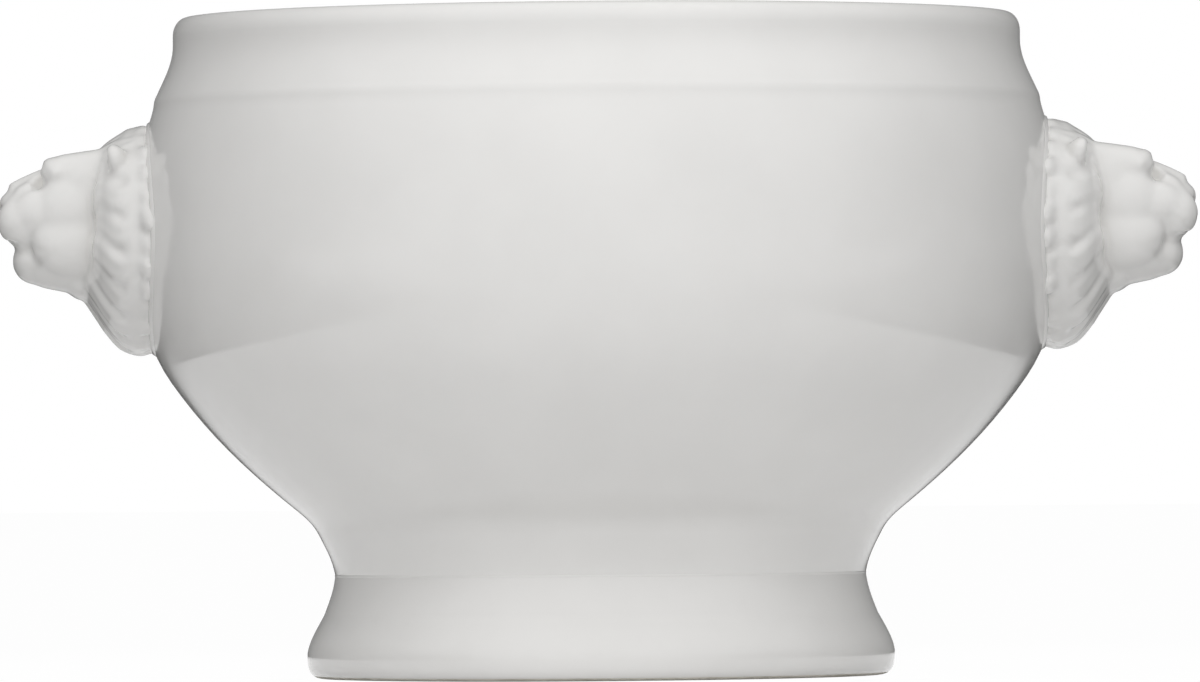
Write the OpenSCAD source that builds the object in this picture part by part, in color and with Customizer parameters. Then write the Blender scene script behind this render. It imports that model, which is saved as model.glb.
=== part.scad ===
// Individual onion soup crock: a footed porcelain bowl with a lion head on each side.
// The bowl, the hollow pedestal foot and the two heads are formed separately and luted
// together with slip, then glazed and fired. Z is up, X runs through the two heads, and
// the origin is the centre of the foot where it meets the table.

/* [Bowl] */
// Height of the crock from the table to the top of the lip
crock_h = 93.6; // [85:0.1:105]
// Outside diameter of the rim
rim_d = 120; // [112:0.5:128]
// Outside diameter of the belly at its widest
belly_d = 130.3; // [124:0.1:138]
// Outside diameter of the waist, where the bowl meets the foot
waist_d = 75.2; // [68:0.2:80]
// Wall thickness of the bowl
wall_t = 3.6; // [2.5:0.1:5]
// Radius of the round lip, half the lip's thickness
lip_r = 1.9; // [1.4:0.1:2.4]
// Height from the shoulder line to the top of the lip
neck_h = 11.6; // [9:0.1:14]
// Depth of the fine line turned into the shoulder
shoulder_line_d = 0.15; // [0.05:0.01:0.3]
// Thickness of the bowl's floor at its centre
floor_t = 3.8; // [3:0.1:5]

/* [Pedestal foot] */
// Height of the foot, up to the slip joint under the bowl
foot_h = 14.4; // [11:0.1:18]
// Outside diameter of the foot at its widest
foot_d = 83.2; // [80:0.2:92]
// Wall thickness of the foot
foot_wall_t = 3.6; // [2.6:0.1:4.4]
// Width of the bare ring that stands on the table
foot_ring_w = 2.2; // [1.4:0.1:2.8]
// Radius of the foot's outer bottom edge
foot_edge_r = 2.4; // [1.8:0.1:3]

/* [Lion heads] */
// Length of the crock from nose tip to nose tip
overall_l = 170; // [160:0.5:180]
// Height of a head with its mane
head_h = 34.2; // [30:0.2:38]
// Width of a head with its mane
head_w = 41; // [36:0.2:46]
// Height of a head's centre above the table
head_z = 62.1; // [58:0.1:66]
// Locks in the raised inner row of the mane
inner_locks = 14; // [10:1:18]
// Locks in the flat outer row of the mane
outer_locks = 18; // [12:1:22]

/* [Slip joints] */
// Thickness of the slip that joins each piece to the bowl
slip_t = 0.3; // [0.2:0.05:0.6]
// How far the slip stays inside the edge of a head
slip_inset = 1.6; // [1:0.1:4]

/* [Hidden] */

$fn = 180;
// Points along each curved stretch of an outline
span_steps = 9;
// Points round half of the lip
lip_steps = 12;
// Facets round each small form of a head
form_fn = 16;
quarter_turn = 90;
half_turn = 180;
full_turn = 360;
// Gap between a curved slip joint and what it joins
seat_gap = 0.02;
// Length by which a cut or a blank runs past the surface that it meets
overrun = 5;

rim_r = rim_d / 2;
belly_r = belly_d / 2;
waist_r = waist_d / 2;
foot_r = foot_d / 2;
seat_z = foot_h + slip_t;
lip_z = crock_h - lip_r;
shoulder_z = crock_h - neck_h;
// Height of the belly, from the seat on the foot up to the shoulder line
belly_h = shoulder_z - seat_z;

// A direction in an outline: its lean in degrees from straight up, outwards being positive.
function heading(lean) = [sin(lean), cos(lean)];

// The side of a curve that faces out of the bowl, for a curve that runs upwards.
function outward(lean) = [cos(lean), -sin(lean)];

// A smooth curve from point a to point b that leaves and arrives with the given leans.
// The pull shares say how far each lean is held, as a share of the distance between them.
function span(a, lean_a, b, lean_b, pull_a_share = 0.35, pull_b_share = 0.35) =
    let (
        reach = norm(b - a),
        a_arm = a + reach * pull_a_share * heading(lean_a),
        b_arm = b - reach * pull_b_share * heading(lean_b)
    )
    [for (i = [0:span_steps - 1])
        let (t = i / span_steps, s = 1 - t)
        s * s * s * a + 3 * s * s * t * a_arm + 3 * s * t * t * b_arm + t * t * t * b];

// A list turned end for end.
function turned(points) = [for (i = [len(points) - 1:-1:0]) points[i]];

// Leans of the bowl's outer outline, from the waist up to the lip
waist_lean = 10;
collar_lean = 27.5;
flare_lean = 51;
lower_lean = 35;
shoulder_lean = -15;
cove_lean = -25.5;

// Short collar under the belly
collar_h = 5.8;
collar_flare = 2.35;
// Flare from the collar into the belly
flare_h = 3.5;
flare_out = 3.25;
// The lower belly ends and the full belly begins at these shares of the belly's size
lower_z_share = 0.405;
lower_r_share = 0.929;
belly_z_share = 0.704;
shoulder_r_share = 0.962;
// The fine shoulder line
shoulder_line_w = 1.1;
// The cove starts at this share of the neck's height, and ends in the upright lip
cove_start_share = 0.135;
cove_end_share = 0.67;
// Part of the way from the rim out to the shoulder that the cove covers
cove_out_share = 0.72;

waist = [waist_r, seat_z];
collar = waist + [collar_flare, collar_h];
flare = collar + [flare_out, flare_h];
lower = [belly_r * lower_r_share, seat_z + belly_h * lower_z_share];
belly = [belly_r, seat_z + belly_h * belly_z_share];
shoulder = [belly_r * shoulder_r_share, shoulder_z - shoulder_line_w / 2];
shoulder_line = [shoulder[0] - shoulder_line_d, shoulder_z];
cove = [
    rim_r + (shoulder[0] - rim_r) * cove_out_share,
    shoulder_z + neck_h * cove_start_share,
];
lip_foot = [rim_r, shoulder_z + neck_h * cove_end_share];

// The belly and neck without their fine line, as a list of curves from the flare to the lip.
// A positive inset gives the same curves that far inside the outer surface.
function wall_curve(inset) =
    let (
        at = function (knot, lean) knot - inset * outward(lean),
        flare_in = at(flare, flare_lean),
        lower_in = at(lower, lower_lean),
        belly_in = at(belly, 0),
        shoulder_in = at(shoulder, shoulder_lean),
        cove_in = at(cove, cove_lean),
        lip_in = at(lip_foot, 0)
    )
    concat(
        span(flare_in, flare_lean, lower_in, lower_lean),
        span(lower_in, lower_lean, belly_in, 0, 0.33, 0.4),
        span(belly_in, 0, shoulder_in, shoulder_lean),
        inset == 0 ? [shoulder, shoulder_line] : [shoulder_in],
        span(cove_in, cove_lean, lip_in, 0)
    );

// The bowl's outer surface from its seat up to the lip.
outer_curve = concat(
    span(waist, waist_lean, collar, collar_lean),
    span(collar, collar_lean, flare, flare_lean),
    wall_curve(0)
);

// Radius of the bowl's outer surface at a height.
outer_by_height = [for (p = outer_curve) [p[1], p[0]]];
function outer_r(z) = lookup(z, outer_by_height);

// Distance from the bowl's axis plane to its surface, at a place beside the middle of a head.
function seat_x(y, z) = sqrt(max(outer_r(z) * outer_r(z) - y * y, 0));

// The foot's seat under the bowl, and the domed floor inside the foot
seat_in_r = waist_r - foot_wall_t;
dome_rise = 1.5;
dome_edge = 1.2;
under_z = seat_z + dome_rise;
floor_z = under_z + floor_t;

// Leans and pulls of the rounded well inside the bowl
well_pull_share = 0.45;
well_rise_share = 0.2;

module bowl() {
    lip = [for (i = [0:lip_steps])
        let (turn = half_turn * i / lip_steps)
        [rim_r - lip_r, lip_z] + lip_r * [cos(turn), sin(turn)]];
    inner_start = flare - wall_t * outward(flare_lean);
    well = span([0, floor_z], quarter_turn, inner_start, flare_lean, well_pull_share, well_rise_share);
    color("whitesmoke")
        rotate_extrude()
            polygon(concat(
                [[0, under_z], [seat_in_r - dome_edge, under_z], [seat_in_r, under_z - dome_edge]],
                [[seat_in_r, seat_z]],
                outer_curve,
                lip,
                turned(wall_curve(wall_t)),
                turned(well)
            ));
}

// Heights and leans of the foot's outer outline
foot_bulge_z = 3.1;
foot_line_z = 8.9;
foot_line_share = 0.4;
foot_line_lean = -29;
foot_cove_lean = -21;
foot_top_lean = -6;
// Inner wall of the foot, which leans out towards the table
foot_in_lean = -16;

module pedestal_foot() {
    foot_line = [waist_r + (foot_r - waist_r) * foot_line_share, foot_line_z];
    ring_out = foot_r - foot_edge_r;
    ring_in = ring_out - foot_ring_w;
    color("whitesmoke")
        rotate_extrude()
            polygon(concat(
                [[ring_in, 0]],
                span([ring_out, 0], quarter_turn, [foot_r, foot_bulge_z], 0, 0.5, 0.5),
                span([foot_r, foot_bulge_z], 0, foot_line, foot_line_lean, 0.28),
                span(foot_line, foot_cove_lean, [waist_r, foot_h], foot_top_lean),
                [[waist_r, foot_h], [seat_in_r, foot_h]],
                turned(span([ring_in, 0], foot_in_lean, [seat_in_r, foot_h], foot_in_lean / 2))
            ));
}

module foot_slip_joint() {
    color("gainsboro")
        translate([0, 0, foot_h])
            linear_extrude(slip_t)
                difference() {
                    circle(waist_r);
                    circle(seat_in_r);
                }
}

// A solid with the bowl's outer surface, grown outwards all round.
module outer_blank(grow) {
    rotate_extrude()
        polygon(concat(
            [[0, seat_z]],
            [for (p = outer_curve) p + [grow, 0]],
            [[0, crock_h]]
        ));
}

// The small forms of a head are placed by shares of its own size: how far out of the belly
// towards the nose tip, how far to the side, and how far above or below its centre.
head_out = overall_l / 2 - belly_r;
head_size = [head_out, head_w / 2, head_h / 2];
head_centre = [belly_r, 0, head_z];

function by_head(shares) = [for (i = [0:2]) head_size[i] * shares[i]];

// One rounded form, with its place and its radii given as shares of the head.
module form(place_shares, radius_shares) {
    translate(head_centre + by_head(place_shares))
        scale(by_head(radius_shares))
            sphere(1, $fn = form_fn);
}

// The same form on both sides of the face.
module pair_of_forms(place_shares, radius_shares) {
    for (side = [-1, 1])
        form([place_shares[0], side * place_shares[1], place_shares[2]], radius_shares);
}

module skull() {
    hull() {
        form([-0.10, 0, 0.08], [0.20, 0.44, 0.62]);
        form([0.46, 0, 0.49], [0.19, 0.38, 0.26]);
        form([0.48, 0, -0.05], [0.19, 0.39, 0.30]);
    }
    for (side = [-1, 1])
        hull() {
            form([0.40, side * 0.34, 0.25], [0.22, 0.15, 0.20]);
            form([0.46, side * 0.30, -0.02], [0.20, 0.13, 0.24]);
        }
}

module brow() {
    for (side = [-1, 1])
        hull() {
            form([0.60, side * 0.10, 0.615], [0.105, 0.10, 0.125]);
            form([0.53, side * 0.30, 0.62], [0.11, 0.12, 0.115]);
        }
    pair_of_forms([0.60, 0.24, 0.455], [0.09, 0.085, 0.08]);
}

module muzzle() {
    hull() {
        form([0.56, 0, 0.12], [0.24, 0.33, 0.34]);
        pair_of_forms([0.795, 0.15, 0.17], [0.195, 0.195, 0.245]);
    }
    hull() {
        form([0.665, 0, 0.48], [0.10, 0.13, 0.14]);
        form([0.895, 0, 0.37], [0.105, 0.17, 0.115]);
    }
}

module chin() {
    hull() {
        form([0.51, 0, -0.19], [0.23, 0.27, 0.235]);
        form([0.74, 0, -0.16], [0.155, 0.215, 0.19]);
    }
}

module crest() {
    hull() {
        form([0.06, 0, 0.77], [0.14, 0.34, 0.19]);
        form([0.30, 0, 0.62], [0.20, 0.32, 0.15]);
    }
}

module ears() {
    for (side = [-1, 1])
        hull() {
            form([0.20, side * 0.46, 0.70], [0.09, 0.12, 0.15]);
            form([0.28, side * 0.40, 0.58], [0.08, 0.10, 0.12]);
        }
}

module beard() {
    hull() {
        form([0.26, 0, -0.39], [0.16, 0.26, 0.18]);
        form([0.08, 0, -0.70], [0.15, 0.22, 0.19]);
        form([-0.12, 0, -0.80], [0.13, 0.18, 0.19]);
    }
}

// Size of a lock's tip beside its root
lock_taper = 0.8;

// One ring of locks that lies round the face. Each lock is a tapered roll that points away
// from the face, with its root nearer the nose and its tip nearer the bowl.
// The rise shares say how far root and tip stand out of the bowl's surface.
// The tip shares take turns, so that long and short locks alternate.
module ring_of_locks(count, root_share, tip_shares, rise_shares, thick_shares, centre_share) {
    for (i = [0:count - 1]) {
        angle = quarter_turn + full_turn * i / count;
        way = [cos(angle), sin(angle)];
        tip_share = tip_shares[i % 2];
        root_y = head_size[1] * root_share * way[0];
        root_z = head_size[2] * (centre_share + root_share * way[1]);
        tip_y = head_size[1] * tip_share * way[0];
        tip_z = head_size[2] * (centre_share * (1 - tip_share) + tip_share * way[1]);
        hull() {
            translate([
                seat_x(root_y, head_z + root_z) + head_out * rise_shares[0], root_y,
                head_z + root_z,
            ])
                scale(by_head(thick_shares))
                    sphere(1, $fn = form_fn);
            translate([
                seat_x(tip_y, head_z + tip_z) + head_out * rise_shares[1], tip_y,
                head_z + tip_z,
            ])
                scale(by_head(thick_shares) * lock_taper)
                    sphere(1, $fn = form_fn);
        }
    }
}

module mane() {
    ring_of_locks(outer_locks, 0.60, [0.87, 0.82], [0.06, 0.01], [0.12, 0.17, 0.17], 0);
    ring_of_locks(inner_locks, 0.47, [0.68, 0.64], [0.10, 0.05], [0.20, 0.19, 0.21], 0.08);
}

// A whole head on the +X side of the bowl, hollowed behind to fit the belly and its slip.
module lion_head() {
    color("whitesmoke")
        difference() {
            union() {
                skull();
                brow();
                muzzle();
                chin();
                crest();
                ears();
                beard();
                mane();
            }
            outer_blank(slip_t);
        }
}

// The thin bed of slip between the belly and the back of a head.
module slip_joint() {
    color("gainsboro")
        intersection() {
            difference() {
                outer_blank(slip_t - seat_gap);
                outer_blank(seat_gap);
            }
            translate([0, 0, head_z])
                rotate([0, quarter_turn, 0])
                    linear_extrude(belly_r + overrun)
                        scale([(head_h - 2 * slip_inset) / (head_w - 2 * slip_inset), 1])
                            circle(head_w / 2 - slip_inset);
        }
}

bowl();
pedestal_foot();
foot_slip_joint();
rotate(half_turn) lion_head();  // left_lion_head
rotate(half_turn) slip_joint();  // left_slip_joint
lion_head();  // right_lion_head
slip_joint();  // right_slip_joint
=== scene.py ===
from math import cos, pi, radians, sin

import bpy
from mathutils import Matrix, Vector


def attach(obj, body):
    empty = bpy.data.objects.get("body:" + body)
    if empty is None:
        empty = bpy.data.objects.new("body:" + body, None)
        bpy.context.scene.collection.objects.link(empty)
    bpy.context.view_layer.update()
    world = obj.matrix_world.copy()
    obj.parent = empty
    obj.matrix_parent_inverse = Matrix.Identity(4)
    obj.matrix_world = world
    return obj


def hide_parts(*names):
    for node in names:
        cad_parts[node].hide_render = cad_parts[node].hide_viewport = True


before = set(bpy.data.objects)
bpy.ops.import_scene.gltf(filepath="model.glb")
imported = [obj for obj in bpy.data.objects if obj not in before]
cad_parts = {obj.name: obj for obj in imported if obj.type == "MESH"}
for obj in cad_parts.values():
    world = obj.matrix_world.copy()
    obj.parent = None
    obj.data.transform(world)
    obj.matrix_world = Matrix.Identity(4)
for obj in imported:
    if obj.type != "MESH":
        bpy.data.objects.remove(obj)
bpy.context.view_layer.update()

# The camera
# A long lens, level with the lower part of the bowl, looking straight at one side of it
# with the heads to the left and right. It is rolled by about half a degree.
MM = 0.001
EYE = Vector((0.18, -1771, 30.8)) * MM
AIM = Vector((0.18, 0, 47.5)) * MM
ROLL = radians(-0.45)
LENS = 375
SENSOR_W = 36

bpy.ops.object.camera_add()
camera = bpy.context.object
camera.data.lens = LENS
camera.data.sensor_width = SENSOR_W
camera.matrix_world = (
    Matrix.Translation(EYE)
    @ (AIM - EYE).to_track_quat("-Z", "Y").to_matrix().to_4x4()
    @ Matrix.Rotation(ROLL, 4, "Z")
)
bpy.context.scene.camera = camera
bpy.context.scene.view_settings.view_transform = "Standard"


# Glazed porcelain
# Hard-paste porcelain under a clear feldspar glaze, fired together until both are glassy.
# The body is a soft, slightly warm white. The glaze is smooth and glossy, very faintly
# rippled where it ran, and a little greyer and warmer where it pooled in the creases. The same
# grey darkens the creases as painted shade, by how closed in they are.
def paint(hex_code):
    """A colour written as sRGB hex, in linear light."""
    parts = [int(hex_code[i:i + 2], 16) / 255 for i in (1, 3, 5)]
    linear = [c / 12.92 if c <= 0.04045 else ((c + 0.055) / 1.055) ** 2.4 for c in parts]
    return (*linear, 1)


def add_node(tree, kind, settings=(), links=()):
    """Adds a node. Settings go to its inputs or options by name, and links feed its inputs."""
    made = tree.nodes.new(kind)
    for name, value in dict(settings).items():
        if name in made.inputs:
            made.inputs[name].default_value = value
        else:
            setattr(made, name, value)
    for name, source in dict(links).items():
        tree.links.new(source, made.inputs[name])
    return made


def new_material(name):
    """An empty material: its node tree and its output."""
    material = bpy.data.materials.new(name)
    material.use_nodes = True
    material.node_tree.nodes.clear()
    output = add_node(material.node_tree, "ShaderNodeOutputMaterial")
    return material, material.node_tree, output


# The colour sockets of a Mix node go by number, because its other sockets share their names.
FIRST_COLOUR = 6
SECOND_COLOUR = 7
MIXED_COLOUR = 2

GLAZE_WHITE = paint("#f0efed")
GLAZE_THICK = paint("#edecea")
POOLED_GLAZE_AND_SHADE = paint("#d3d1cc")
RIPPLE_SIZE = 16 * MM
RIPPLE_DEPTH = 0.012 * MM
ORANGE_PEEL_SIZE = 1.1 * MM
ORANGE_PEEL_DEPTH = 0.0006 * MM
CREASE_REACH = 1.6 * MM
CREASE_SHADE = (0.95, 0.45)
CREASE_SAMPLES = 8
MOST_POOLED_AND_SHADED = 0.7
THICKNESS_SPREAD = (0.35, 0.65)
GLOSS_RANGE = (0.07, 0.13)
GLAZE_IOR = 1.5

glazed_porcelain, tree, output = new_material("glazed_porcelain")
place = add_node(tree, "ShaderNodeTexCoord")
run = add_node(
    tree, "ShaderNodeTexNoise",
    {"Scale": 1 / RIPPLE_SIZE, "Detail": 3, "Roughness": 0.45},
    {"Vector": place.outputs["Object"]},
)
peel = add_node(
    tree, "ShaderNodeTexNoise",
    {"Scale": 1 / ORANGE_PEEL_SIZE, "Detail": 1},
    {"Vector": place.outputs["Object"]},
)
# Painted shade: the colour turns darker grey in creases by how closed in they are, partly for glaze
# pooled there and partly as shade.
crease = add_node(
    tree, "ShaderNodeAmbientOcclusion",
    {"Distance": CREASE_REACH, "samples": CREASE_SAMPLES, "only_local": True},
)
crease_share = add_node(
    tree, "ShaderNodeMapRange",
    {"From Min": CREASE_SHADE[0], "From Max": CREASE_SHADE[1], "To Max": MOST_POOLED_AND_SHADED},
    {"Value": crease.outputs["AO"]},
)
thickness_share = add_node(
    tree, "ShaderNodeMapRange",
    {"From Min": THICKNESS_SPREAD[0], "From Max": THICKNESS_SPREAD[1]},
    {"Value": run.outputs["Fac"]},
)
tone = add_node(
    tree, "ShaderNodeMix",
    {"data_type": "RGBA"},
    {"Factor": thickness_share.outputs["Result"]},
)
tone.inputs[FIRST_COLOUR].default_value = GLAZE_WHITE
tone.inputs[SECOND_COLOUR].default_value = GLAZE_THICK
pooled_and_shaded = add_node(
    tree, "ShaderNodeMix",
    {"data_type": "RGBA"},
    {"Factor": crease_share.outputs["Result"]},
)
pooled_and_shaded.inputs[SECOND_COLOUR].default_value = POOLED_GLAZE_AND_SHADE
tree.links.new(tone.outputs[MIXED_COLOUR], pooled_and_shaded.inputs[FIRST_COLOUR])
gloss = add_node(
    tree, "ShaderNodeMapRange",
    {"To Min": GLOSS_RANGE[0], "To Max": GLOSS_RANGE[1]},
    {"Value": run.outputs["Fac"]},
)
ripple_bump = add_node(
    tree, "ShaderNodeBump",
    {"Strength": 1, "Distance": RIPPLE_DEPTH},
    {"Height": run.outputs["Fac"]},
)
peel_bump = add_node(
    tree, "ShaderNodeBump",
    {"Strength": 1, "Distance": ORANGE_PEEL_DEPTH},
    {"Height": peel.outputs["Fac"], "Normal": ripple_bump.outputs["Normal"]},
)
surface = add_node(
    tree, "ShaderNodeBsdfPrincipled",
    {"IOR": GLAZE_IOR},
    {
        "Base Color": pooled_and_shaded.outputs[MIXED_COLOUR],
        "Roughness": gloss.outputs["Result"],
        "Normal": peel_bump.outputs["Normal"],
    },
)
tree.links.new(surface.outputs["BSDF"], output.inputs["Surface"])


# Bare porcelain
# The ring under the foot, wiped clean of glaze before the firing and ground flat after it.
# It is dull, fine-grained and a touch warmer than the glaze.
BARE_WHITE = paint("#e3dfd5")
BARE_RUBBED = paint("#cdc8bc")
GRIT_SIZE = 0.25 * MM
GRIT_DEPTH = 0.02 * MM
GRIT_STRENGTH = 0.6
RUBBED_SIZE = 6 * MM
RUBBED_SPREAD = (0.5, 0.7)
BARE_ROUGHNESS = 0.72

bare_porcelain, tree, output = new_material("bare_porcelain")
place = add_node(tree, "ShaderNodeTexCoord")
grain = add_node(
    tree, "ShaderNodeTexNoise",
    {"Scale": 1 / GRIT_SIZE, "Detail": 4, "Roughness": 0.6},
    {"Vector": place.outputs["Object"]},
)
rubbed = add_node(
    tree, "ShaderNodeTexNoise",
    {"Scale": 1 / RUBBED_SIZE, "Detail": 5},
    {"Vector": place.outputs["Object"]},
)
rubbed_share = add_node(
    tree, "ShaderNodeMapRange",
    {"From Min": RUBBED_SPREAD[0], "From Max": RUBBED_SPREAD[1]},
    {"Value": rubbed.outputs["Fac"]},
)
bare_tone = add_node(
    tree, "ShaderNodeMix",
    {"data_type": "RGBA"},
    {"Factor": rubbed_share.outputs["Result"]},
)
bare_tone.inputs[FIRST_COLOUR].default_value = BARE_WHITE
bare_tone.inputs[SECOND_COLOUR].default_value = BARE_RUBBED
grain_bump = add_node(
    tree, "ShaderNodeBump",
    {"Strength": GRIT_STRENGTH, "Distance": GRIT_DEPTH},
    {"Height": grain.outputs["Fac"]},
)
surface = add_node(
    tree, "ShaderNodeBsdfPrincipled",
    {"IOR": GLAZE_IOR, "Roughness": BARE_ROUGHNESS},
    {"Base Color": bare_tone.outputs[MIXED_COLOUR], "Normal": grain_bump.outputs["Normal"]},
)
tree.links.new(surface.outputs["BSDF"], output.inputs["Surface"])


# The bowl
# One piece of porcelain, cast or jiggered in a mould: a full belly on a short collar, with a
# soft step at the shoulder, a hollow neck and a round lip. Its seat on the foot is a flat ring.
RIM_R = 60
BELLY_R = 65.15
WAIST_R = 37.6
SEAT_R = 34
CROCK_H = 93.6
SEAT_Z = 14.7
LIP_R = 1.9
LIP_DROP = 2.6
WALL = 3.6
FLOOR_Z = 20
UNDER_Z = 16.2
RECESS_R = 32.8
LAND_H = 0.3
TURNS = 256
CURVE_STEPS = 10
ARC_PULL = 0.3905
MERGE_GAP = 0.002 * MM
TURNED_CREASE = radians(50)


def heading(lean):
    """The direction of an outline that leans that many degrees from straight up."""
    return Vector((sin(radians(lean)), 0, cos(radians(lean))))


def draw_outline(name, stations, steps=CURVE_STEPS):
    """Draws an outline in the XZ plane as a Bezier curve, in millimetres, and makes it a mesh of
    edges. A station is (radius, height, lean it arrives with, lean it leaves with, pull, pull)."""
    bpy.ops.curve.primitive_bezier_curve_add()
    drawn = bpy.context.object
    drawn.name = name
    drawn.matrix_world = Matrix.Identity(4)
    drawn.data.resolution_u = steps
    spline = drawn.data.splines[0]
    spline.bezier_points.add(len(stations) - len(spline.bezier_points))
    places = [Vector((s[0], 0, s[1])) for s in stations]
    for i, (point, station) in enumerate(zip(spline.bezier_points, stations)):
        lean_in, lean_out, pull_in, pull_out = station[2:]
        before = (places[i] - places[max(i - 1, 0)]).length
        after = (places[min(i + 1, len(places) - 1)] - places[i]).length
        point.handle_left_type = point.handle_right_type = "FREE"
        point.co = places[i] * MM
        point.handle_left = (places[i] - heading(lean_in) * before * pull_in) * MM
        point.handle_right = (places[i] + heading(lean_out) * after * pull_out) * MM
    bpy.ops.object.convert(target="MESH")
    return bpy.context.object


def turn_on_wheel(outline):
    """Spins an outline round the Z axis into a closed solid, with its faces pointing outwards."""
    bpy.ops.object.mode_set(mode="EDIT")
    bpy.ops.mesh.select_all(action="SELECT")
    bpy.ops.mesh.spin(steps=TURNS, angle=2 * pi, center=(0, 0, 0), axis=(0, 0, 1))
    bpy.ops.mesh.select_all(action="SELECT")
    bpy.ops.mesh.remove_doubles(threshold=MERGE_GAP)
    bpy.ops.mesh.normals_make_consistent(inside=False)
    bpy.ops.object.mode_set(mode="OBJECT")
    bpy.ops.object.shade_smooth_by_angle(angle=TURNED_CREASE)
    return outline


def finish_piece(piece, name, material, slot, *nodes):
    """Names a finished piece, gives it its material, hangs it under the root body and hides the
    solids it stands for.
    """
    piece.name = piece.data.name = name
    piece.data.materials.clear()
    piece.data.materials.append(material)
    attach(piece, "root")
    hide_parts(*nodes)


# The outside, from the seat up to the foot of the lip. The short collar opens into the flare of
# the belly. The belly leans in towards the shoulder and is nearly upright at the step there. The
# neck above it leans in more and is hollow. The lip's outer curve is taller than it is wide.
OUTSIDE = [
    (WAIST_R, SEAT_Z, 10, 10, 0.35, 0.35),
    (39.95, 20.5, 27.5, 27.5, 0.35, 0.35),
    (43.2, 24, 51, 51, 0.35, 0.35),
    (60.52, 41.96, 35, 35, 0.35, 0.33),
    (BELLY_R, 62.1, 0, 0, 0.4, 0.35),
    (63.29, 79.2, -16.5, -16.5, 0.35, 0.33),
    (62.78, 81.3, -6, -6, 0.33, 0.33),
    (62.48, 82.4, -26.5, -26.5, 0.33, 0.33),
    (61.93, 83.57, -25.5, -25.5, 0.35, 0.35),
    (RIM_R, 89.77, 0, 0, 0.35, 0.33),
]
LIP = [
    (RIM_R, CROCK_H - LIP_DROP, 0, 0, 0.33, 0.446),
    (RIM_R - LIP_R, CROCK_H, -90, -90, 0.326, ARC_PULL),
    (RIM_R - 2 * LIP_R, CROCK_H - LIP_R, 180, 180, ARC_PULL, 0.33),
]
INSIDE = [
    (RIM_R - WALL, 88.8, 180, 180, 0.33, 0.35),
    (58.68, 82.02, 154.5, 154.5, 0.35, 0.35),
    (BELLY_R - WALL, 62.1, 180, 180, 0.35, 0.4),
    (57.57, 44.02, 215, 215, 0.33, 0.35),
    (40.93, 26.8, 231, 231, 0.35, 0.2),
    (0, FLOOR_Z, 270, 270, 0.45, 0),
]
UNDERSIDE = [
    (0, UNDER_Z, 90, 90, 0, 0.33),
    (RECESS_R, UNDER_Z, 90, 90, 0.33, ARC_PULL),
    (SEAT_R, SEAT_Z + LAND_H, 180, 180, ARC_PULL, 0.33),
    (SEAT_R, SEAT_Z, 180, 90, 0.33, 0.33),
]

bpy.ops.object.select_all(action="DESELECT")
waist_corner = (*OUTSIDE[0][:2], 90, *OUTSIDE[0][3:])
bowl = turn_on_wheel(draw_outline("bowl", UNDERSIDE + [waist_corner] + OUTSIDE[1:] + LIP + INSIDE))
finish_piece(bowl, "porcelain_bowl", glazed_porcelain, "glazed_porcelain", "bowl")


# The pedestal foot
# A hollow flared ring, turned or cast apart and luted under the bowl. Its cove has a faint
# edge a third of the way down, and it stands on a narrow bare ring.
FOOT_R = 41.6
FOOT_H = 14.4
RING_OUT = 39.2
RING_IN = 37
GLAZE_EDGE = 0.35
COVE_STEPS = 14

FOOT = [
    (RING_IN, 0, 90, 90, 0.33, 0.33),
    (RING_OUT, 0, 90, 90, 0.33, 0.5),
    (FOOT_R, 3.1, 0, 0, 0.5, 0.28),
    (39.2, 8.9, -29, -21, 0.35, 0.35),
    (WAIST_R, FOOT_H, -6, 270, 0.35, 0.33),
    (SEAT_R, FOOT_H, 270, 172, 0.33, 0.35),
    (RING_IN, 0, 164, 164, 0.35, 0.33),
]

bpy.ops.object.select_all(action="DESELECT")
foot = turn_on_wheel(draw_outline("foot", FOOT, COVE_STEPS))
finish_piece(foot, "porcelain_foot", glazed_porcelain, "glazed_porcelain", "pedestal_foot")
foot.data.materials.append(bare_porcelain)
for face in foot.data.polygons:
    if face.center.z < GLAZE_EDGE * MM:
        face.material_index = 1


# The slip joint of the foot
# A ring of slip, which is runny clay, brushed on between the bowl and the foot. It fused the two
# in the firing, and it was wiped level with both at the waist.
JOINT_PROUD = 0.03
JOINT_STEPS = 4
JOINT = [
    (SEAT_R, FOOT_H, 90, 90, 0.33, 0.33),
    (WAIST_R, FOOT_H, 90, 40, 0.33, 0.33),
    (WAIST_R + JOINT_PROUD, (FOOT_H + SEAT_Z) / 2, 0, 0, 0.33, 0.33),
    (WAIST_R, SEAT_Z, -40, 270, 0.33, 0.33),
    (SEAT_R, SEAT_Z, 270, 180, 0.33, 0.33),
    (SEAT_R, FOOT_H, 180, 180, 0.33, 0.33),
]

bpy.ops.object.select_all(action="DESELECT")
foot_joint = turn_on_wheel(draw_outline("foot_joint", JOINT, JOINT_STEPS))
finish_piece(foot_joint, "foot_slip_ring", glazed_porcelain, "fired_slip", "foot_slip_joint")


# The lion heads
# Pressed in a mould from the same porcelain, one for each side, and luted to the belly as
# lugs to lift the bowl by. The glaze has filled and rounded the relief: a blunt muzzle under
# a heavy brow, small ears, and a combed mane over a flat fringe of curled locks.
HEAD_Z = 62.45
CLAY_GRAIN = 0.3
TOOL_GRAIN = 0.15
LUMP_SEGMENTS = 28
LUMP_RINGS = 18
BLOCK_EDGE_STEPS = 6
ROLL_ROUNDNESS = 3
ROLL_STEPS = 6
CLAY_CREASE = radians(60)
SOFTENING_SHARE = 0.5
FACE_SOFTENING = 14
MANE_SOFTENING = 15
HEAD_SOFTENING = 9
SEAT_DEPTH = 0.06


def lump(place, radii, turn=(0, 0, 0)):
    """Adds one rounded lump of clay, in millimetres and degrees."""
    bpy.ops.mesh.primitive_uv_sphere_add(
        segments=LUMP_SEGMENTS, ring_count=LUMP_RINGS, location=Vector(place) * MM,
        scale=Vector(radii) * MM, rotation=[radians(a) for a in turn],
    )
    return bpy.context.object


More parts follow.
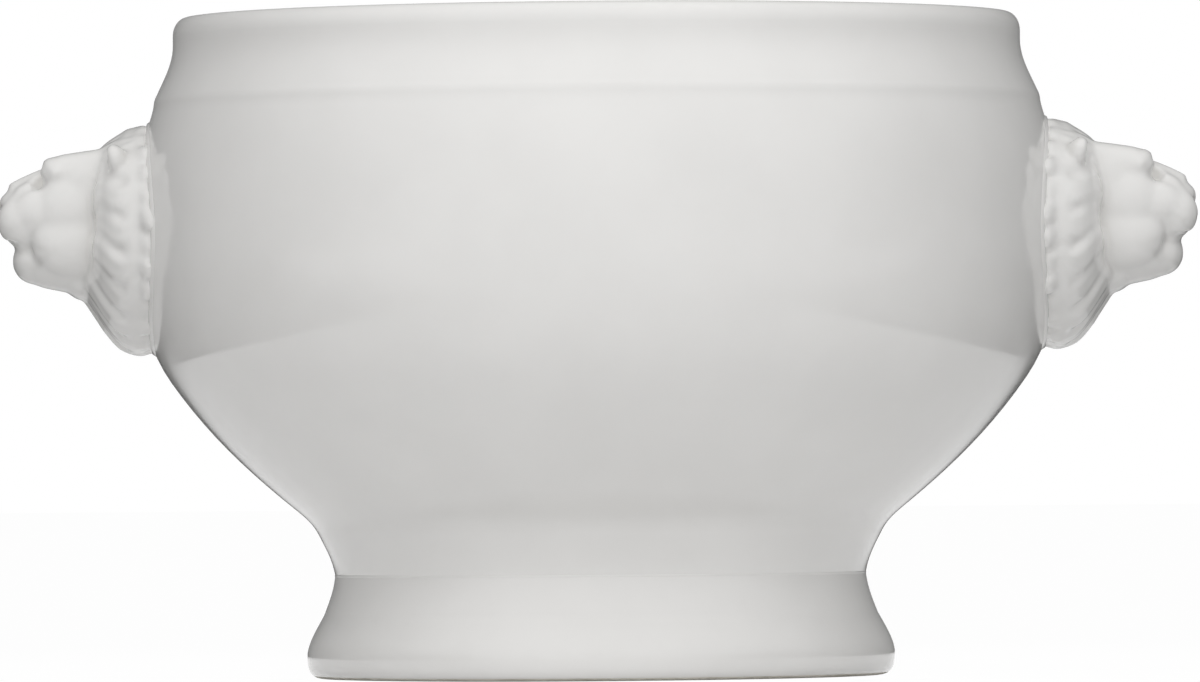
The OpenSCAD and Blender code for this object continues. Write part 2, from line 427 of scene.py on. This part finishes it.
def block(place, size, rounding, turn=(0, 0, 0)):
    """Adds one block of clay with rounded edges, in millimetres and degrees."""
    bpy.ops.mesh.primitive_cube_add(
        size=1, location=Vector(place) * MM, scale=Vector(size) * MM,
        rotation=[radians(a) for a in turn],
    )
    made = bpy.context.object
    bpy.ops.object.transform_apply(location=False, rotation=False)
    edges = made.modifiers.new("rounded", "BEVEL")
    edges.width = rounding * MM
    edges.segments = BLOCK_EDGE_STEPS
    bpy.ops.object.modifier_apply(modifier="rounded")
    return made


def roll(points, closed=False):
    """Adds a roll of clay along a smooth curve. Each point is (place, radius), in millimetres."""
    bpy.ops.curve.primitive_bezier_curve_add()
    drawn = bpy.context.object
    drawn.matrix_world = Matrix.Identity(4)
    drawn.data.bevel_depth = MM
    drawn.data.bevel_resolution = ROLL_ROUNDNESS
    drawn.data.use_fill_caps = True
    drawn.data.resolution_u = ROLL_STEPS
    spline = drawn.data.splines[0]
    spline.use_cyclic_u = closed
    spline.bezier_points.add(len(points) - len(spline.bezier_points))
    for knot, (place, radius) in zip(spline.bezier_points, points):
        knot.handle_left_type = knot.handle_right_type = "AUTO"
        knot.co = Vector(place) * MM
        knot.radius = radius
    bpy.ops.object.convert(target="MESH")
    return bpy.context.object


def on_both_sides(make, place, size, turn=(0, 0, 0)):
    """Makes a form on each side of the face. Turns about X and Z are mirrored too."""
    return [
        make((place[0], side * place[1], place[2]), size, (side * turn[0], turn[1], side * turn[2]))
        for side in (-1, 1)
    ]


def pick(piece):
    """Makes a piece the only one selected, and the active one."""
    bpy.ops.object.select_all(action="DESELECT")
    piece.select_set(True)
    bpy.context.view_layer.objects.active = piece


def reskin(piece, grain):
    """Gives closed forms one solid skin, with faces about as large as the grain."""
    pick(piece)
    skin = piece.modifiers.new("skin", "REMESH")
    skin.mode = "VOXEL"
    skin.voxel_size = grain * MM
    bpy.ops.object.modifier_apply(modifier="skin")


def knead(parts, name, grain=CLAY_GRAIN):
    """Joins closed forms into one piece of clay under one skin."""
    pick(parts[0])
    for part in parts:
        part.select_set(True)
    bpy.ops.object.join()
    joined = bpy.context.object
    joined.name = name
    bpy.ops.object.transform_apply()
    reskin(joined, grain)
    return joined


def carve(piece, cutter):
    """Cuts a piece with another solid, which is used up."""
    pick(piece)
    cut = piece.modifiers.new("cut", "BOOLEAN")
    cut.operation = "DIFFERENCE"
    cut.solver = "EXACT"
    cut.object = cutter
    bpy.ops.object.modifier_apply(modifier="cut")
    bpy.data.objects.remove(cutter)


def soften(piece, passes):
    """Rounds a piece all over, as the glaze does."""
    pick(piece)
    smooth = piece.modifiers.new("soft", "SMOOTH")
    smooth.factor = SOFTENING_SHARE
    smooth.iterations = passes
    bpy.ops.object.modifier_apply(modifier="soft")


def skull():
    """The boxy head behind the face, and the flesh under the mane."""
    return [
        lump((62.4, 0, 62.2), (4.2, 18.2, 16)),
        lump((64, 0, 63), (6, 12.6, 12.6)),
        block((69, 0, 66.2), (15, 14.6, 16.6), 3.6),
        block((71.3, 0, 70.8), (12.8, 13.6, 8.4), 2.6, (0, 8, 0)),
        lump((72.4, 0, 60.6), (6.4, 7.6, 5.2)),
    ]


def face():
    """Brow, cheeks, nose, muzzle and chin."""
    brow = [((76.6, 1.0, 72.5), 1.4), ((77.2, 4.0, 72.6), 1.5), ((75.9, 6.6, 71.2), 1.2)]
    return [
        *[roll([((u, side * v, z), r) for (u, v, z), r in brow]) for side in (-1, 1)],
        *on_both_sides(lump, (74.4, 4.9, 66.4), (5.2, 3.0, 5.4)),
        *on_both_sides(lump, (74.4, 4.9, 61.8), (5.6, 3.2, 4.8)),
        roll([((77.0, 0, 71.0), 2.1), ((79.4, 0, 70.0), 2.2), ((82.5, 0, 68.2), 2.5)]),
        block((79.0, 0, 69.2), (7.6, 8.4, 4.2), 1.7, (0, 28, 0)),
        lump((82.5, 0, 67.4), (2.4, 3.3, 2.1)),
        block((78.6, 0, 65.4), (11.6, 10.8, 8.6), 3.6),
        *on_both_sides(lump, (77.6, 4.0, 66.0), (5.4, 2.9, 4.0)),
        *on_both_sides(lump, (81.1, 2.6, 65.0), (3.9, 3.3, 3.9)),
        lump((79.7, 0, 59.4), (3.3, 4.2, 3.3)),
        lump((76.4, 0, 59.2), (5.6, 5.6, 3.9)),
        lump((75.0, 0, 58.0), (4.6, 5.4, 3.0)),
        lump((72.9, 0, 56.1), (2.5, 5.2, 2.3)),
    ]


def hollows():
    """What the modelling tool cut from the face: sockets, nostrils, lip, mouth and brow line."""
    lip = [((84.4, 0, 62.1), 0.6)]
    corner = [((83.0, 3.2, 61.7), 0.7), ((79.9, 6.2, 61.0), 0.6), ((77.2, 8.0, 60.3), 0.35)]
    mouth = [((u, -v, z), r) for (u, v, z), r in reversed(corner)] + lip + corner
    return [
        *on_both_sides(lump, (78.7, 4.2, 70.9), (1.9, 2.3, 1.6), (-12, 0, 0)),
        *on_both_sides(lump, (78.9, 3.6, 71.6), (0.8, 1.6, 1.5), (8, 0, 0)),
        *on_both_sides(lump, (84.5, 1.75, 66.5), (0.9, 0.8, 0.6), (20, 0, 0)),
        lump((85.0, 0, 63.7), (0.8, 0.4, 1.8)),
        lump((78.1, 0, 73.9), (1.0, 0.45, 1.7), (0, -30, 0)),
        roll(mouth),
    ]


def eyes():
    """The eyeballs in their sockets, each between an upper and a lower lid."""
    upper_lid = [((77.5, 2.5, 70.6), 0.35), ((78.4, 4.1, 71.9), 0.55), ((76.8, 6.4, 70.6), 0.4)]
    lower_lid = [((77.5, 2.5, 70.6), 0.35), ((78.3, 4.2, 69.3), 0.5), ((76.8, 6.4, 70.6), 0.4)]
    return [
        *on_both_sides(lump, (76.9, 4.2, 70.6), (1.6, 1.5, 1.15)),
        *[
            roll([((u, side * v, z), r) for (u, v, z), r in lid])
            for lid in (upper_lid, lower_lid) for side in (-1, 1)
        ],
    ]


# The ruff's outline, from the face to its outer edge. Each step gives, for above, beside and
# below the face, how far the surface is from the middle of the head and from the crock's axis.
# Two strands make a lock. At each step they have a radius, stand apart by a share of the room
# that a lock has, and bend by a share of the wave. Every other lock is laid a little deeper.
RUFF = [
    ((10.8, 71.6), (7.4, 71.3), (7.2, 73.9)),
    ((12.3, 71.0), (10.6, 71.2), (9.6, 72.3)),
    ((13.3, 69.5), (13.2, 70.2), (12.4, 70.4)),
    ((14.4, 67.5), (15.8, 68.0), (14.8, 68.3)),
    ((15.8, 64.6), (17.4, 64.8), (16.3, 64.8)),
]
RUFF_LOCKS = 19
RUFF_WAVE = 6
ROLL_RADII = (2.2, 2.4, 2.6, 1.8)
ROLL_DEPTH = 1.3
ROLL_TURN = 15
STRAND_RADII = (1.0, 1.35, 1.6, 1.4, 0.6)
STRAND_SPREAD = (0.22, 0.23, 0.21, 0.17, 0.05)
STRAND_BEND = (0, 1, 0.6, -0.5, 0.4)
LAID_DEEPER = 0.35


def on_ruff(angle, step, depth):
    """A place under the ruff's surface, at an angle from the top of the head, in degrees."""
    above, beside, below = RUFF[step]
    swing = radians(angle)
    end = above if cos(swing) > 0 else below
    out = end[1] * cos(swing) ** 2 + beside[1] * sin(swing) ** 2
    return (out - depth, beside[0] * sin(swing), HEAD_Z + end[0] * cos(swing))


def ruff():
    """The raised part of the mane: wavy strands in pairs, combed back over thick rolls."""
    core = []
    for step, radius in enumerate(ROLL_RADII):
        ring = [on_ruff(angle, step, radius + ROLL_DEPTH) for angle in range(0, 360, ROLL_TURN)]
        core.append(roll([(place, radius) for place in ring], True))
    strands = []
    room = 360 / RUFF_LOCKS
    for i in range(RUFF_LOCKS):
        middle = room * (i + 0.5)
        wave = -RUFF_WAVE * sin(radians(middle))
        deeper = LAID_DEEPER if i % 2 == 0 else 0
        for side in (-1, 1):
            points = []
            for step, radius in enumerate(STRAND_RADII):
                angle = middle + side * room * STRAND_SPREAD[step] + wave * STRAND_BEND[step]
                points.append((on_ruff(angle, step, radius + deeper), radius))
            strands.append(roll(points))
    return core + strands


CLEAR_OF_BELLY = 200


def belly_at(side_way, height):
    """How far out the belly's surface is, beside the middle of a head, in millimetres."""
    start = Vector((CLEAR_OF_BELLY * MM, side_way * MM, height * MM))
    return bowl.ray_cast(start, Vector((-1, 0, 0)))[1].x / MM


# The fringe starts under the ruff and ends at its tips, on two ellipses, by half width and half
# height. Each step of a strand gives its share of the way out, its radius and how far its middle
# is from the belly. The two strands of a lock draw together and curl, and the tips' reach varies.
FRINGE_ROOT = (14.4, 13.0)
FRINGE_LENGTH = (4.6, 2.8)
FRINGE_STEPS = ((0, 1.3, 0.8), (0.4, 1.35, 0.65), (0.8, 1.15, 0.25), (1, 0.75, 0))
FRINGE_LOCKS = 28
FRINGE_CURL = 7
FRINGE_SPREAD = 3.1
FRINGE_TAPER = 0.45
TIP_SPREAD = 0.12
TIP_RHYTHM = 2.4


def fringe():
    """The flat outer layer of the mane, lying on the belly with its tips curled downwards."""
    strands = []
    for i in range(FRINGE_LOCKS):
        middle = 360 * i / FRINGE_LOCKS
        curl = FRINGE_CURL * sin(radians(middle))
        reach = 1 + TIP_SPREAD * sin(TIP_RHYTHM * i)
        for side in (-1, 1):
            points = []
            for share, radius, rise in FRINGE_STEPS:
                apart = side * FRINGE_SPREAD * (1 - share * FRINGE_TAPER)
                swing = radians(middle + curl * share ** 2 + apart)
                side_way = (FRINGE_ROOT[0] + FRINGE_LENGTH[0] * share * reach) * sin(swing)
                height = (FRINGE_ROOT[1] + FRINGE_LENGTH[1] * share * reach) * cos(swing) + HEAD_Z
                points.append(((belly_at(side_way, height) + rise, side_way, height), radius))
            strands.append(roll(points))
    return strands


def ears():
    """Small round ears half sunk in the mane."""
    return on_both_sides(lump, (67.6, 10.9, 73.2), (1.6, 2.3, 2.7), (-35, 20, 0))


def ear_hollows():
    """The hollows of the ears."""
    return on_both_sides(lump, (69.5, 11.2, 73.4), (1.2, 1.2, 1.6), (-35, 20, 0))


bpy.ops.object.select_all(action="DESELECT")
head = knead(skull() + face(), "clay_head")
soften(head, FACE_SOFTENING)
carve(head, knead(hollows(), "tool_marks", TOOL_GRAIN))
mane = knead(ruff() + fringe(), "clay_mane")
soften(mane, MANE_SOFTENING)
head = knead([head, mane] + eyes() + ears(), "clay_head")
carve(head, knead(ear_hollows(), "tool_marks", TOOL_GRAIN))
reskin(head, CLAY_GRAIN)
soften(head, HEAD_SOFTENING)

# The belly's own form, a little smaller, is cut away from behind the head.
BLANK = [
    (0, SEAT_Z, 90, 90, 0, 0.33),
    (WAIST_R - SEAT_DEPTH, SEAT_Z, 90, 10, 0.33, 0.35),
    *[(r - SEAT_DEPTH, z, *rest) for r, z, *rest in OUTSIDE[1:]],
    (0, OUTSIDE[-1][1], 270, 270, 0.33, 0),
]
bpy.ops.object.select_all(action="DESELECT")
seat_blank = turn_on_wheel(draw_outline("seat_blank", BLANK))
carve(head, seat_blank)


def set_on_both_sides(model, kind, slot, node_kind):
    """Sets a copy at the right, and one turned half round at the left. The model is used up."""
    pick(model)
    bpy.ops.object.shade_smooth_by_angle(angle=CLAY_CREASE)
    for side, turn in (("right", 0), ("left", pi)):
        piece = model.copy()
        piece.data = model.data.copy()
        bpy.context.scene.collection.objects.link(piece)
        piece.data.transform(Matrix.Rotation(turn, 4, "Z"))
        finish_piece(piece, f"{side}_{kind}", glazed_porcelain, slot, f"{side}_{node_kind}")
    bpy.data.objects.remove(model)


set_on_both_sides(head, "lion_mask", "glazed_porcelain", "lion_head")


# The slip joints of the heads
# The slip that held each head to the belly, squeezed out round the edge of the mane and
# brushed into a thin fillet that the glaze has run over.
FILLET_RADIUS = 1.1
FILLET_SUNK = 0.75
FILLET_W = 18.8
FILLET_H = 15.7
FILLET_STEPS = 72

bpy.ops.object.select_all(action="DESELECT")
edge = []
for step in range(FILLET_STEPS):
    swing = 2 * pi * step / FILLET_STEPS
    side_way = FILLET_W * sin(swing)
    height = HEAD_Z + FILLET_H * cos(swing)
    edge.append(((belly_at(side_way, height) - FILLET_SUNK, side_way, height), FILLET_RADIUS))
fillet = roll(edge, True)
seat_blank = turn_on_wheel(draw_outline("seat_blank", BLANK))
carve(fillet, seat_blank)
set_on_both_sides(fillet, "slip_fillet", "fired_slip", "slip_joint")


# The floor
# A plain pale table top, large enough to reach the horizon in every view. The camera and
# the glaze see it nearly white, with a soft shadow round the foot.
FLOOR_SIZE = 12
FLOOR_WHITE = paint("#e4e4e4")
PURE_WHITE = paint("#ffffff")
WHITE_SHARE = 0.985


def white_rays(tree):
    """One where a ray comes from the camera, a gloss or a clear material, and zero elsewhere."""
    path = add_node(tree, "ShaderNodeLightPath")
    total = path.outputs["Is Camera Ray"]
    for kind in ("Is Glossy Ray", "Is Transmission Ray"):
        total = add_node(
            tree, "ShaderNodeMath", {"operation": "MAXIMUM"}, {0: total, 1: path.outputs[kind]}
        ).outputs[0]
    return total


floor_finish, tree, output = new_material("pale_table")
matt = add_node(tree, "ShaderNodeBsdfDiffuse", {"Color": FLOOR_WHITE})
white = add_node(tree, "ShaderNodeEmission", {"Color": PURE_WHITE, "Strength": 1})
share = add_node(tree, "ShaderNodeMapRange", {"To Max": WHITE_SHARE}, {"Value": white_rays(tree)})
mixed = add_node(
    tree, "ShaderNodeMixShader", {},
    {0: share.outputs["Result"], 1: matt.outputs[0], 2: white.outputs[0]},
)
tree.links.new(mixed.outputs[0], output.inputs["Surface"])
bpy.ops.mesh.primitive_plane_add(size=FLOOR_SIZE)
floor = bpy.context.object
floor.name = "floor"
floor.data.materials.append(floor_finish)


# The light
# A tent of white cloth all round, lit most from above and behind the camera. Black cloth lies on
# the table beside and behind the crock, a low black card stands at each side of the foot, and a
# soft lamp fills the far side. Cloth and cards have soft edges. The camera sees none of them.
TENT_R = 2.3
TENT_SEGMENTS = 48
TENT_RINGS = 24
TENT_LIGHT = 1.2
TENT_DIM = 0.14
TENT_EDGE = (-0.2, 0.95)
TENT_TILT = radians(35)
AMBIENT = 0.6
STAGE_BLACK = paint("#343434")
CLOTH_SIZE = 12
CLOTH_LIFT = 0.3 * MM
CLOTH_THINS = (0.1, 0.35)
CLOTH_FRONT = (-0.3, 0)
CARD_OUT = 0.15
CARD_W = 0.5
CARD_H = 0.08
CARD_SQUEEZE = 0.3
CARD_THINS = (0.07, 0.02)
LAMP_PLACE = Vector((0, 1.6, 0.6))
LAMP_SIZE = 1
LAMP_POWER = 10


def black_where(tree, output, dense):
    """Makes a material black where dense is one, and clear where it is nought."""
    clear = add_node(tree, "ShaderNodeBsdfTransparent")
    black = add_node(tree, "ShaderNodeBsdfDiffuse", {"Color": STAGE_BLACK})
    mixed = add_node(
        tree, "ShaderNodeMixShader", {}, {0: dense, 1: clear.outputs[0], 2: black.outputs[0]}
    )
    tree.links.new(mixed.outputs[0], output.inputs["Surface"])


def set_up(name, material):
    """Makes the new object part of the stage, out of the camera's sight."""
    made = bpy.context.object
    bpy.ops.object.transform_apply()
    made.name = name
    made.data.materials.append(material)
    made.visible_camera = False


world = bpy.data.worlds.new("studio")
bpy.context.scene.world = world
world.use_nodes = True
tree = world.node_tree
tree.nodes.clear()
output = add_node(tree, "ShaderNodeOutputWorld")
strength = add_node(
    tree, "ShaderNodeMapRange", {"To Min": AMBIENT, "To Max": 1}, {"Value": white_rays(tree)}
)
sky = add_node(
    tree, "ShaderNodeBackground", {"Color": PURE_WHITE}, {"Strength": strength.outputs["Result"]}
)
tree.links.new(sky.outputs[0], output.inputs["Surface"])

tent_cloth, tree, output = new_material("tent_cloth")
place = add_node(tree, "ShaderNodeTexCoord")
aim = add_node(
    tree, "ShaderNodeVectorMath", {"operation": "NORMALIZE"}, {0: place.outputs["Object"]}
)
lit_from = add_node(
    tree, "ShaderNodeVectorMath", {"operation": "DOT_PRODUCT"}, {0: aim.outputs["Vector"]}
)
lit_from.inputs[1].default_value = (0, -cos(TENT_TILT), sin(TENT_TILT))
lit_share = add_node(
    tree, "ShaderNodeMapRange",
    {"interpolation_type": "SMOOTHSTEP", "From Min": TENT_EDGE[0], "From Max": TENT_EDGE[1]},
    {"Value": lit_from.outputs["Value"]},
)
glow = add_node(
    tree, "ShaderNodeMapRange",
    {"To Min": TENT_DIM * TENT_LIGHT, "To Max": TENT_LIGHT},
    {"Value": lit_share.outputs["Result"]},
)
cloth = add_node(
    tree, "ShaderNodeEmission", {"Color": PURE_WHITE}, {"Strength": glow.outputs["Result"]}
)
tree.links.new(cloth.outputs[0], output.inputs["Surface"])
tent_cloth.cycles.emission_sampling = "NONE"
bpy.ops.object.select_all(action="DESELECT")
bpy.ops.mesh.primitive_uv_sphere_add(
    segments=TENT_SEGMENTS, ring_count=TENT_RINGS, radius=TENT_R
)
set_up("tent", tent_cloth)

black_cloth, tree, output = new_material("black_cloth")
place = add_node(tree, "ShaderNodeTexCoord")
way = add_node(tree, "ShaderNodeSeparateXYZ", {}, {"Vector": place.outputs["Object"]})
away = add_node(
    tree, "ShaderNodeVectorMath", {"operation": "LENGTH"}, {0: place.outputs["Object"]}
)
beside = add_node(
    tree, "ShaderNodeMapRange",
    {"interpolation_type": "SMOOTHSTEP", "From Min": CLOTH_THINS[0], "From Max": CLOTH_THINS[1]},
    {"Value": away.outputs["Value"]},
)
behind = add_node(
    tree, "ShaderNodeMapRange",
    {"interpolation_type": "SMOOTHSTEP", "From Min": CLOTH_FRONT[0], "From Max": CLOTH_FRONT[1]},
    {"Value": way.outputs["Y"]},
)
dense = add_node(
    tree, "ShaderNodeMath", {"operation": "MULTIPLY"},
    {0: beside.outputs["Result"], 1: behind.outputs["Result"]},
)
black_where(tree, output, dense.outputs[0])
bpy.ops.object.select_all(action="DESELECT")
bpy.ops.mesh.primitive_plane_add(size=CLOTH_SIZE, location=(0, 0, CLOTH_LIFT))
set_up("table_cloth", black_cloth)

black_card, tree, output = new_material("black_card")
place = add_node(tree, "ShaderNodeTexCoord")
squeezed = add_node(
    tree, "ShaderNodeVectorMath", {"operation": "MULTIPLY"}, {0: place.outputs["Object"]}
)
squeezed.inputs[1].default_value = (0, CARD_SQUEEZE, 1)
away = add_node(
    tree, "ShaderNodeVectorMath", {"operation": "LENGTH"}, {0: squeezed.outputs["Vector"]}
)
dense = add_node(
    tree, "ShaderNodeMapRange",
    {"interpolation_type": "SMOOTHSTEP", "From Min": CARD_THINS[0], "From Max": CARD_THINS[1]},
    {"Value": away.outputs["Value"]},
)
black_where(tree, output, dense.outputs["Result"])
for name, side in (("left_card", -1), ("right_card", 1)):
    bpy.ops.object.select_all(action="DESELECT")
    bpy.ops.mesh.primitive_plane_add(
        size=1, location=(side * CARD_OUT, 0, CARD_H / 2), rotation=(0, pi / 2, 0)
    )
    bpy.context.object.scale = (CARD_H, CARD_W, 1)
    set_up(name, black_card)

bpy.ops.object.light_add(type="AREA")
lamp = bpy.context.object
lamp.name = "fill_lamp"
lamp.data.shape = "DISK"
lamp.data.size = LAMP_SIZE
lamp.data.energy = LAMP_POWER
lamp.matrix_world = (
    Matrix.Translation(LAMP_PLACE) @ LAMP_PLACE.to_track_quat("Z", "Y").to_matrix().to_4x4()
)
lamp.visible_camera = False
lamp.visible_glossy = False
